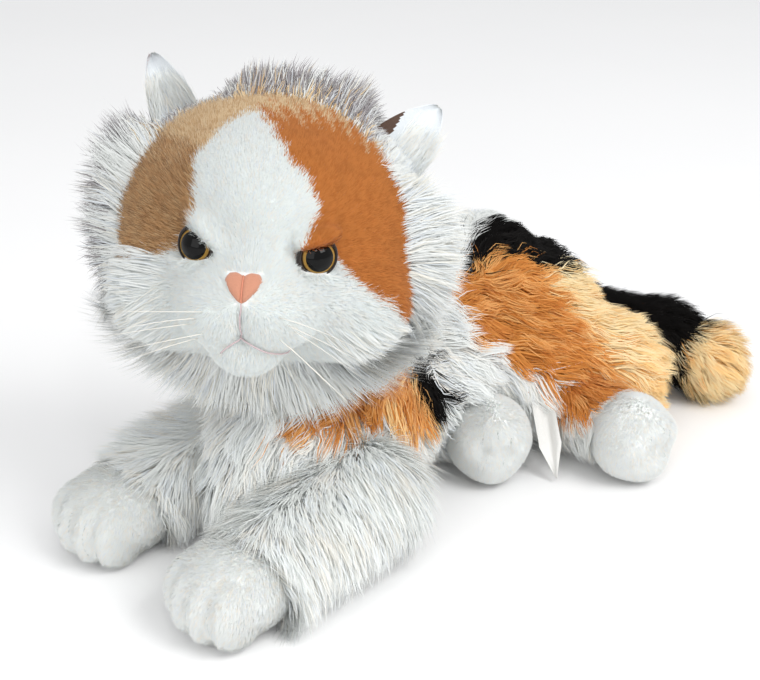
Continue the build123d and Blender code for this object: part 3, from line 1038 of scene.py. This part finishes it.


# the ruff's grey tips are frosting on top and painted shade on its shadowed left side
fur("ruff_pile", "head", head_skin, 130000, 11, ruff_length, head_comb, ruff_class, width=0.62, segs=3,
    lift=ruff_lift, droop=0.09,
    clump=0.34, clump_size=10, jitter=0.13, curl=0.04, wave=1.2, keep=keep_ruff, grey_tip_rate=ruff_frost_and_painted_shade,
    families=HEAD_FAMILIES, edge=2, lean=HEAD @ np.array([0, -1.1, 0.5]))
fur("face_pile", "head", head_skin, 330000, 12, face_length, head_comb, head_class, width=0.5, segs=1,
    lift=0.55, clump=0.1, clump_size=5, jitter=0.2,
    keep=keep_face, families=HEAD_FAMILIES, edge=1.0)


# cheek whisks: longer white hair brushed out from under the eyes
def whisk_keep(p, nrm, rng):
    q = to_head(p)
    level = np.where(q[:, 0] > 0, -30, -4)
    cheek = (np.abs(q[:, 0]) > 34) & (q[:, 2] < level) & (q[:, 2] > -48)
    return cheek & (past_seam(q) < 0) & (q[:, 1] > -64)


fur("cheek_pile", "head", head_skin, 30000, 13, even(17.0), head_comb, ruff_class, width=0.6,
    families={"white": ("mane",)},
    segs=3, lift=0.45, droop=0.03, clump=0.5, clump_size=7, jitter=0.1, keep=whisk_keep)


# ---- body pile
def body_comb(p, nrm):
    x, y, z = p[:, 0], p[:, 1], p[:, 2]
    one = np.ones(len(p))
    t = np.clip((y + 66) / 50, 0, 1)[:, None]
    chest = np.stack([x * 0.014, -0.45 * one, -0.8 * one], 1)
    flank = np.stack([x * 0.005, 0.8 * one, -0.55 * one], 1)
    top = np.clip((z - 100) / 20, 0, 1)[:, None]
    flank = flank * (1 - top) + np.stack([x * 0.002, one, 0 * one], 1) * top
    way = chest * (1 - t) + flank * t
    on_band = (np.clip(1.6 - np.abs(z - 86) / 10, 0, 1) * (y < -16) * (x > 16))[:, None]
    return way * (1 - on_band) + np.array([0.25, -0.8, -0.35]) * on_band


def body_length(p, nrm):
    x, y, z = p[:, 0], p[:, 1], p[:, 2]
    top = np.clip((z - 96) / 20, 0, 1)
    chest = np.clip((-70 - y) / 30, 0, 1)
    band = np.clip(1.6 - np.abs(z - 86) / 10, 0, 1) * (y < -10) * (x > 16)
    under = np.clip((14 - z) / 12, 0, 1)
    return (27 - 13 * top - 15 * band) * (1 - 0.55 * under) + 3 * chest


LABEL_LOW, LABEL_HIGH = low_high("sewn_in_label")
LABEL_ROOT = np.array([LABEL_LOW[0] + 4, LABEL_HIGH[1] - 5, LABEL_HIGH[2] - 3])
LABEL_TIP = np.array([LABEL_HIGH[0] + 0.5, LABEL_LOW[1] - 1, LABEL_LOW[2] - 4])


def keep_body(p, nrm, rng):
    hidden = neck_field(p) < 4
    for side in SIDES:
        hidden |= limb(p, SHOULDER[side], FOREPAW[side], *FORE_ROOM) < 1.5
        hidden |= limb(p, HIP[side], HINDPAW[side], *HIND_ROOM) < 1.5
    hidden |= limb(p, TAIL_ROOT, TAIL_MID, 24, 23) < 1.9
    hidden |= limb(p, LABEL_ROOT - np.array([4, 2, 8]), LABEL_TIP, 5, 6) < 0
    return ~hidden & ((p[:, 2] > 4) | (rng.random(len(p)) < 0.3))


BODY_FAMILIES = {"white": ("white",), "orange": ("orange", "amber", "gold"), "black": ("black",)}
fur("body_pile", "torso", torso_skin, 90000, 21, body_length, body_comb, body_class, width=0.75, segs=3,
    lift=0.5, droop=0.08, clump=0.62, clump_size=12, jitter=0.14, curl=0.04, wave=2.6,
    keep=keep_body, families=BODY_FAMILIES, edge=2.5)


# ---- leg and tail pile
def foreleg_pile(side, seed):
    s = 1 if side == "left" else -1
    root, tip = SHOULDER[side], FOREPAW[side]
    skin = LEG["foreleg_" + side]

    def split(p):
        return p[:, 1] - (tip[1] + 14 - 0.2 * (p[:, 2] - 25))

    def comb(p, nrm):
        one = np.ones(len(p))
        return np.stack([0.45 * s * one + 0.02 * (p[:, 0] - root[0]), -0.35 * one, -0.8 * one], 1)

    def length(p, nrm):
        near = np.clip((split(p) + 6) / 14, 0.4, 1)
        under = np.clip((12 - p[:, 2]) / 10, 0, 1)
        outer = np.clip((p[:, 0] - root[0]) * s / 20, 0, 1)
        return (26 + 7 * outer) * near * (1 - 0.5 * under)

    fur("foreleg_" + side + "_pile", "foreleg_" + side, skin, 32000, seed, length, comb, all_white,
        width=0.72, segs=3, lift=0.58, droop=0.08, clump=0.26, clump_size=9, jitter=0.14, curl=0.04,
        wave=0.8, lean=(0, 0, 0.6),
        keep=lambda p, n, r: (split(p) > -1 + r.normal(0, 1.5, len(p))) & (torso_field(p) > -6))

    def paw_comb(p, nrm):
        return np.stack([0.012 * (p[:, 0] - tip[0]), np.full(len(p), -0.7), np.full(len(p), -0.5)], 1)

    fur("foreleg_" + side + "_paw_pile", "foreleg_" + side, skin, 110000, seed + 1, even(3.4), paw_comb,
        all_white, width=0.5, segs=1, lift=0.7, clump=0.25, clump_size=5,
        keep=lambda p, n, r: split(p) < 2)


def hindleg_pile(side, seed):
    root, tip = HIP[side], HINDPAW[side]
    skin = LEG["hindleg_" + side]
    way = unit(((tip - root) * np.array([1, 1, 0]))[None, :])[0]

    def ahead(p):
        return (p - tip) @ way

    def comb(p, nrm):
        return np.tile(way * 0.7 + np.array([0, 0.15, -0.7]), (len(p), 1))

    fur("hindleg_" + side + "_pile", "hindleg_" + side, skin, 12000, seed,
        lambda p, n: 8 + 14 * np.clip(-(ahead(p) + 14) / 14, 0, 1), comb,
        HIND_CLASS[side], width=0.65, segs=3, lift=0.5, droop=0.08, clump=0.5, clump_size=10,
        jitter=0.14, curl=0.04, wave=1.5, families=BODY_FAMILIES,
        keep=lambda p, n, r: (ahead(p) < -14 + r.normal(0, 1.5, len(p))) & (torso_field(p) > -6))
    fur("hindleg_" + side + "_paw_pile", "hindleg_" + side, skin, 60000, seed + 1, even(2.8),
        lambda p, n: n * 0.2 + np.array([0, 0, -0.6]), all_white, width=0.46, segs=1, lift=0.75, clump=0.25,
        clump_size=5, keep=lambda p, n, r: ahead(p) > -16)


for i, side in enumerate(SIDES):
    foreleg_pile(side, 31 + 4 * i)
    hindleg_pile(side, 41 + 4 * i)


def tail_comb(p, nrm):
    a = unit((TAIL_MID - TAIL_ROOT)[None, :])
    b = unit((TAIL_TIP - TAIL_MID)[None, :])
    t = np.clip((p[:, 0] - 20) / 40, 0, 1)[:, None]
    return a * (1 - t) + b * t + np.array([0, 0, -0.25])


TIP_FROM = 66  # the tail's fuller, lifted tip starts at this X, mm
fur("tail_pile", "tail", tail_skin, 21000, 51, lambda p, n: np.where(p[:, 0] > TIP_FROM, 20.0, 16.0),
    tail_comb, tail_class, width=0.75, segs=3, lift=lambda p: np.where(p[:, 0] > TIP_FROM, 0.95, 0.6),
    droop=0.04, clump=0.4, clump_size=10, jitter=0.16, curl=0.05, wave=1.5, families=BODY_FAMILIES,
    edge=3, keep=lambda p, n, r: np.linalg.norm(p - TAIL_ROOT, axis=1) > 15)


# ---- face details
def tree_of(verts, quads):
    return BVHTree.FromPolygons([Vector(v) for v in verts], [tuple(map(int, f)) for f in quads])


head_tree = tree_of(to_head(head_skin[0]), head_skin[1])


def on_face(x, z, out=0.0):
    """Point of the face's cloth straight behind (x, z) in head axes, moved out along its normal."""
    hit = head_tree.ray_cast(Vector((x, -200, z)), Vector((0, 1, 0)))
    n = np.array(hit[1])
    if n[1] > 0:
        n = -n
    return np.array(hit[0]) + n * out


def ring_faces(rings, around, turned=False):
    """Quads between rings of vertices; turned swaps the side that they face."""
    faces = []
    for k in range(rings):
        for j in range(around):
            a, b = k * around + j, k * around + (j + 1) % around
            faces.append((a, a + around, b + around, b) if turned else (a, b, b + around, a + around))
    return faces


def two_sheets(rows, cols):
    """Faces of a grid and of a second one behind it, and how many vertices each has."""
    m = cols + 1
    size = (rows + 1) * m
    faces = []
    for i in range(rows):
        for j in range(cols):
            a = i * m + j
            faces.append((a, a + 1, a + m + 1, a + m))
            faces.append((size + a, size + a + m, size + a + m + 1, size + a + 1))
    return faces, size


def finish_piece(obj, body, mat, slot, *nodes):
    """Material, body and the CAD nodes that a piece stands for; slot is not used."""
    for m in mat if isinstance(mat, (list, tuple)) else [mat]:
        obj.data.materials.append(m)
    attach(obj, body)
    if nodes:
        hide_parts(*nodes)
    return obj


def tube(points, radii, sides=8):
    """Round thread along points."""
    pts = np.asarray(points, float)
    along = unit(np.gradient(pts, axis=0))
    ref = np.array([0.3, 0.2, 1.0])
    side = unit(np.cross(along, ref))
    up = np.cross(side, along)
    ang = np.arange(sides) * 2 * math.pi / sides
    ring = side[:, None, :] * np.cos(ang)[None, :, None] + up[:, None, :] * np.sin(ang)[None, :, None]
    verts = (pts[:, None, :] + ring * np.asarray(radii, float)[:, None, None]).reshape(-1, 3)
    faces = ring_faces(len(pts) - 1, sides)
    faces.append(tuple(range(sides))[::-1])
    faces.append(tuple((len(pts) - 1) * sides + j for j in range(sides)))
    return verts, faces


def merge(meshes):
    """Several meshes as one."""
    verts, faces, base = [], [], 0
    for v, f in meshes:
        verts.append(np.asarray(v))
        faces += [tuple(int(i) + base for i in q) for q in f]
        base += len(v)
    return np.concatenate(verts), faces


# nose: padded suede heart, sewn down the middle
def nose_edge(a):
    """Half-outline of the heart as (x, z) for a from 0 (top notch) to 1 (tip)."""
    stops = [0, 0.12, 0.3, 0.42, 0.6, 0.85, 1.0]
    xs = np.interp(a, stops, [0, 3.6, 7.0, 8.9, 6.6, 2.0, 0])
    zs = NOSE_TOP + np.interp(a, stops, [-1.4, 0, -0.5, -3.2, -7.0, -11.6, -12.6])
    return xs, zs


def make_nose():
    """Suede heart, with the stitch down its middle."""
    a = np.linspace(0, 1, 22)
    xs, zs = nose_edge(a)
    edge = np.concatenate([np.stack([xs, zs], 1), np.stack([-xs[-2:0:-1], zs[-2:0:-1]], 1)])
    centre = np.array([0, NOSE_TOP - 5.5])
    rings = 8
    verts = []
    for r in range(rings + 1):
        t = r / rings
        for x, z in edge:
            px, pz = centre + (np.array([x, z]) - centre) * (1 - t)
            puff = 2.6 * math.sqrt(max(0.0, 1 - (1 - t) ** 4)) * (1 - 0.45 * math.exp(-(px / 0.8) ** 2))
            verts.append(on_face(px, pz, 0.2 + puff))
    obj = make_mesh("nose", from_head(np.array(verts)), ring_faces(rings, len(edge)))
    finish_piece(obj, "head", SUEDE, "pink_suede", "nose_patch")
    line = [from_head(on_face(0, z, 1.9)) for z in np.linspace(NOSE_TOP - 1.8, NOSE_TOP - 12.2, 12)]
    v, f = tube(line, [0.35] * 12, 6)
    finish_piece(make_mesh("nose_stitch", v, f), "head", NOSE_THREAD, "pink_suede")


def make_mouth():
    """Thread below the nose, forked to both sides."""
    fork = (0, -33.0)
    lines = [[(0, z) for z in np.linspace(NOSE_TOP - 12.6, fork[1], 8)]]
    t = np.linspace(0, 1, 10)
    lines.append([(-9.0 * u, fork[1] - 8.5 * u ** 1.3) for u in t])
    lines.append([(21 * u, fork[1] - 8.0 * math.sin(u * 1.75)) for u in t])
    tubes = []
    for line in lines:
        pts = [from_head(on_face(x, z, 2.0)) for x, z in line]
        tubes.append(tube(pts, [0.36] * len(pts), 6))
    v, f = merge(tubes)
    finish_piece(make_mesh("mouth_stitches", v, f), "head", MOUTH_THREAD, "mouth_thread", "mouth_thread")


EYE_RADIUS = 8.2
EYE_RISE = 4.6
PUPIL_TO = 6.5
AMBER_TO = 7.55


def make_eye(side):
    """Black pupil, thin amber ring and rim, turned as one dome."""
    at, n, across, up = eye_frame(side)
    at = at + n * 1.2
    radii = np.array([0, 1.5, 3, 4.5, 5.8, 6.55, 6.6, 7.1, 7.6, 7.65, 7.95, 8.2, 8.25, 8.0])
    verts, mats = [], []
    around = 48
    dome = (EYE_RADIUS * EYE_RADIUS + EYE_RISE * EYE_RISE) / (2 * EYE_RISE)
    for k, rad in enumerate(radii):
        if k < 12:
            h = math.sqrt(max(dome * dome - rad * rad, 0)) - (dome - EYE_RISE)
        else:
            h = -0.9 if k == 12 else -2.5
        for j in range(around):
            a = 2 * math.pi * j / around
            verts.append(at + n * h + across * rad * math.cos(a) + up * rad * math.sin(a))
    for rad in radii[:-1]:
        mats += [0 if rad < PUPIL_TO else (1 if rad < AMBER_TO else 2)] * around
    obj = make_mesh("eye_" + side, from_head(np.array(verts)), ring_faces(len(radii) - 1, around, True))
    nodes = [kind + side for kind in ("eye_lens_", "eye_base_", "eye_washer_")]
    finish_piece(obj, "head", [PUPIL, IRIS, EYE_RIM], "eye_lens", *nodes)
    obj.data.polygons.foreach_set("material_index", mats)


def make_liner(side):
    """Felt ring round an eye, drawn out to a point at the inner corner."""
    at, n, across, up = eye_frame(side)
    at = at + n * 1.2
    corner = math.pi + 0.42 if side == "left" else -0.42
    around = 48
    verts = []
    for k, (grow_by, h) in enumerate(((0.2, -1.5), (0.2, 0.6), (0.6, 0.9), (1.0, 0.4), (1.2, -2.0))):
        for j in range(around):
            a = 2 * math.pi * j / around
            c, sn = math.cos(a), math.sin(a)
            inner = max(0.0, math.cos(a - corner)) ** 14
            rad = EYE_RADIUS + grow_by + (2.4 * inner if k >= 2 else 0) * (1 if k > 2 else 0.6)
            lid = 0.8 * max(0.0, sn) if k >= 2 else 0
            depth = h - (0.9 * inner if k >= 2 else 0)
            verts.append(at + n * depth + across * (rad + lid) * c + up * (rad + lid) * sn)
    obj = make_mesh("eye_liner_felt_" + side, from_head(np.array(verts)), ring_faces(4, around, True))
    finish_piece(obj, "head", FELT, "black_felt", "eye_liner_" + side)


def make_whiskers(side):
    """Five stiff hairs that sag a little."""
    s = 1 if side == "left" else -1
    tubes = []
    rng = np.random.default_rng(5 if s > 0 else 6)
    for i in range(5):
        x = s * (17 + 3.2 * (i % 3))
        z = -22 - 3.4 * i
        start = on_face(x, z, 1.0)
        reach = 36 + 9 * rng.random()
        down = -0.12 - 0.17 * i if s > 0 else 0.0 - 0.07 * i
        way = unit(np.array([[s * 1.0, -0.30, down]]))[0]
        bow = rng.normal(0, 0.05)
        pts = []
        for t in np.linspace(0, 1, 10):
            sag = np.array([0, 0.25 * t * t, (-0.14 + bow) * t * t]) * reach
            pts.append(from_head(start + way * reach * t + sag))
        tubes.append(tube(pts, np.linspace(0.22, 0.07, 10), 5))
    v, f = merge(tubes)
    finish_piece(make_mesh("whisker_hairs_" + side, v, f), "head", NYLON, "nylon_hair", "whiskers_" + side)


make_nose()
make_mouth()
for side in SIDES:
    make_eye(side)
    make_liner(side)
    make_whiskers(side)


# ---- ears
def dark_edge(u, v):
    """Where the brown back cloth of the left ear rolls over to the front."""
    return u > 0.45 + 0.55 * (v / 0.66) ** 2


def ear_frame(side):
    """Foot of an ear in head axes, and the ways up it, across it and behind it."""
    base, up, back = EARS[side]
    up = up / np.linalg.norm(up)
    across = np.cross(up, back)
    across /= np.linalg.norm(across)
    behind = np.cross(across, up)
    if behind[1] < 0:
        behind = -behind
    return base, up, across, behind


def make_ear(side):
    """Two cloths sewn edge to edge into a cupped triangle."""
    base, up, across, behind = ear_frame(side)
    body = "ear_" + side
    rows, cols = 30, 28
    height, width = EAR_HEIGHT, EAR_WIDTH[side]

    def sheet_point(u, v, lift):
        # u -1..1 across, v 0..1 up; a cupped triangle with a rounded tip
        w = width / 2 * max(0.0, 1 - v ** 1.7) ** 0.75 + 1.6
        cup = EAR_CUP[side] * (u * u - 0.5) * (1 - v * 0.6)
        return base + up * (height * v - 2) + across * w * u - behind * (cup - lift)

    verts = []
    for lift in (-1.3, 1.3):
        for i in range(rows + 1):
            for j in range(cols + 1):
                u, v = -1 + 2 * j / cols, i / rows
                edge = max(abs(u), v) ** 6
                verts.append(sheet_point(u, v, lift * (1 - 0.75 * edge)))
    faces, size = two_sheets(rows, cols)
    mats = []
    for i in range(rows):
        for j in range(cols):
            rolled = side == "left" and dark_edge((2 * j + 1) / cols - 1, (i + 0.5) / rows)
            mats += [2 if rolled else 0, 1]
    m = cols + 1
    rim = [i * m for i in range(rows + 1)] + [rows * m + j for j in range(1, cols + 1)]
    rim += [i * m + cols for i in range(rows - 1, -1, -1)]
    for a, b in zip(rim[:-1], rim[1:]):
        faces.append((a, b, b + size, a + size))
        mats.append(0)
    obj = make_mesh(body, from_head(np.array(verts)), faces)
    outside = EAR_BACK_DARK if side == "left" else EAR_BACK_TAN
    finish_piece(obj, body, [EAR_CLOTH, outside, EAR_BACK_DARK], "short_plush_white",
                 body + "_front", body + "_back")
    obj.data.polygons.foreach_set("material_index", mats)
    quads = np.array([f for f in faces if len(f) == 4])
    return from_head(np.array(verts)), quads


def ear_coat(side, skin):
    """Short pile on an ear's front, and a long tuft at its foot."""
    base, up, across, behind = ear_frame(side)
    body = "ear_" + side
    height, width = EAR_HEIGHT, EAR_WIDTH[side]
    up_row = HEAD @ up
    front_row = HEAD @ (-behind)

    def comb(p, nrm):
        return np.tile(up_row * 0.8, (len(p), 1))

    def ear_class(p):
        q = to_head(p) - base
        u, v = (q @ across) / (width / 2), (q @ up) / height
        out = np.full(len(p), "plush", dtype=object)
        if side == "left":
            out[dark_edge(u, v)] = "ear_dark"
        else:
            out[u > 0.1] = "ear_pink"
        return out

    seed = 61 if side == "left" else 63
    fur(body + "_pile", body, skin, 16000, seed, even(1.6), comb, ear_class, edge=0.4, width=0.4,
        segs=1, lift=0.6, clump=0.1, clump_size=4,
        keep=lambda p, n, r: n @ front_row > -0.2)

    # long combed tuft growing from the ear's foot
    def tuft_keep(p, n, r):
        q = to_head(p) - base
        clear = (q @ across) < 0.3 * width / 2 if side == "left" else True
        return (q @ up < 13) & (n @ front_row > -0.3) & clear

    fur(body + "_tuft", body, skin, 5000, seed + 4, even(20.0),
        lambda p, n: np.tile(up_row * 0.9 + front_row * 0.15, (len(p), 1)), all_white,
        width=0.55, segs=4, lift=0.3, droop=0.03, clump=0.4, clump_size=6, keep=tuft_keep)


for side in SIDES:
    ear_coat(side, make_ear(side))


# ---- stitches and label
def make_toe_stitches(kind, side):
    """Threads sewn over the front of a paw."""
    leg = kind + "_" + side
    root = (SHOULDER if kind == "foreleg" else HIP)[side]
    tip = (FOREPAW if kind == "foreleg" else HINDPAW)[side]
    way, across = level_axes(root, tip)
    tree = tree_of(*LEG[leg])
    if kind == "foreleg":
        lines = [[(x, z) for z in np.linspace(-13, 8, 10)] for x in (-11.5, 0.8, 12.5)]
    else:
        spots = ((-8, 9), (0.5, 13), (9, 8), (4.5, -6))
        lines = [[(a, b + dz) for dz in np.linspace(-2, 2, 4)] for a, b in spots]
    tubes = []
    for line in lines:
        pts = []
        for a, b in line:
            origin = tip + across * a + np.array([0, 0, b]) + way * 80
            hit = tree.ray_cast(Vector(origin), Vector(-way))
            if hit[0] is not None:
                pts.append(np.array(hit[0]) + way * 0.4)
        if len(pts) > 2:
            tubes.append(tube(pts, [0.4] * len(pts), 5))
    v, f = merge(tubes)
    finish_piece(make_mesh(leg + "_toe_stitches", v, f), leg, THREAD, "sewing_thread", leg + "_toe_threads")


for kind in ("foreleg", "hindleg"):
    for side in SIDES:
        make_toe_stitches(kind, side)


LABEL_HALF = 6.6


def make_label():
    """Folded satin tab in the haunch seam."""
    top, tip = LABEL_ROOT, LABEL_TIP
    across = unit(np.array([[1, 1, 0.35]]))[0]
    out = unit(np.cross(across, tip - top)[None, :])[0]
    rows, cols = 16, 8
    verts = []
    for layer in (-0.25, 0.25):
        for i in range(rows + 1):
            v = i / rows
            half = LABEL_HALF if v < 0.62 else LABEL_HALF * (1 - (v - 0.62) / 0.38) + 0.3
            for j in range(cols + 1):
                u = -1 + 2 * j / cols
                fold = 3.2 * math.exp(-((u - 0.15) / 0.3) ** 2) * math.sin(v * 2.6 + 0.3)
                wave = 1.2 * math.sin(u * 3 + v * 4)
                verts.append(top + (tip - top) * v + across * half * u + out * (fold + wave + layer))
    obj = make_mesh("label", np.array(verts), two_sheets(rows, cols)[0])
    finish_piece(obj, "torso", SATIN, "white_satin", "sewn_in_label")


make_label()
stitches = frame["nodes"]["closing_stitches"]
stitches.data.materials.clear()
stitches.data.materials.append(THREAD)

# ---- floor and light
floor_mesh = bpy.data.meshes.new("floor")
floor_mesh.from_pydata([(-20, -20, 0), (20, -20, 0), (20, 20, 0), (-20, 20, 0)], [], [(0, 1, 2, 3)])
floor = bpy.data.objects.new("floor", floor_mesh)
scene.collection.objects.link(floor)
floor_mat = simple_material("pale_floor", (250, 250, 250), 0.9, 3, 0.02, 0)
floor_mesh.materials.append(floor_mat)

world = bpy.data.worlds.new("studio")
scene.world = world
world.use_nodes = True
sky = world.node_tree.nodes["Background"]
sky.inputs["Color"].default_value = (0.985, 0.99, 1.0, 1)
sky.inputs["Strength"].default_value = 0.76


def softbox(name, at, look_at, size, power):
    lamp = bpy.data.lights.new(name, "AREA")
    lamp.shape = "SQUARE"
    lamp.size = size
    lamp.energy = power
    obj = bpy.data.objects.new(name, lamp)
    scene.collection.objects.link(obj)
    obj.location = at
    obj.rotation_euler = (Vector(look_at) - Vector(at)).to_track_quat("-Z", "Y").to_euler()


softbox("key_softbox", (1.3, 0.1, 1.4), (0, 0, 0.1), 0.9, 17)
softbox("fill_softbox", (0.5, -1.5, 0.75), (0, 0, 0.1), 1.2, 6.5)
softbox("top_softbox", (0.2, -0.4, 1.9), (0, 0, 0.1), 1.4, 2)
softbox("eye_catchlight", (0.463, -0.444, 0.746), (0, -0.12, 0.18), 0.08, 0.5)
scene.view_settings.view_transform = "Standard"
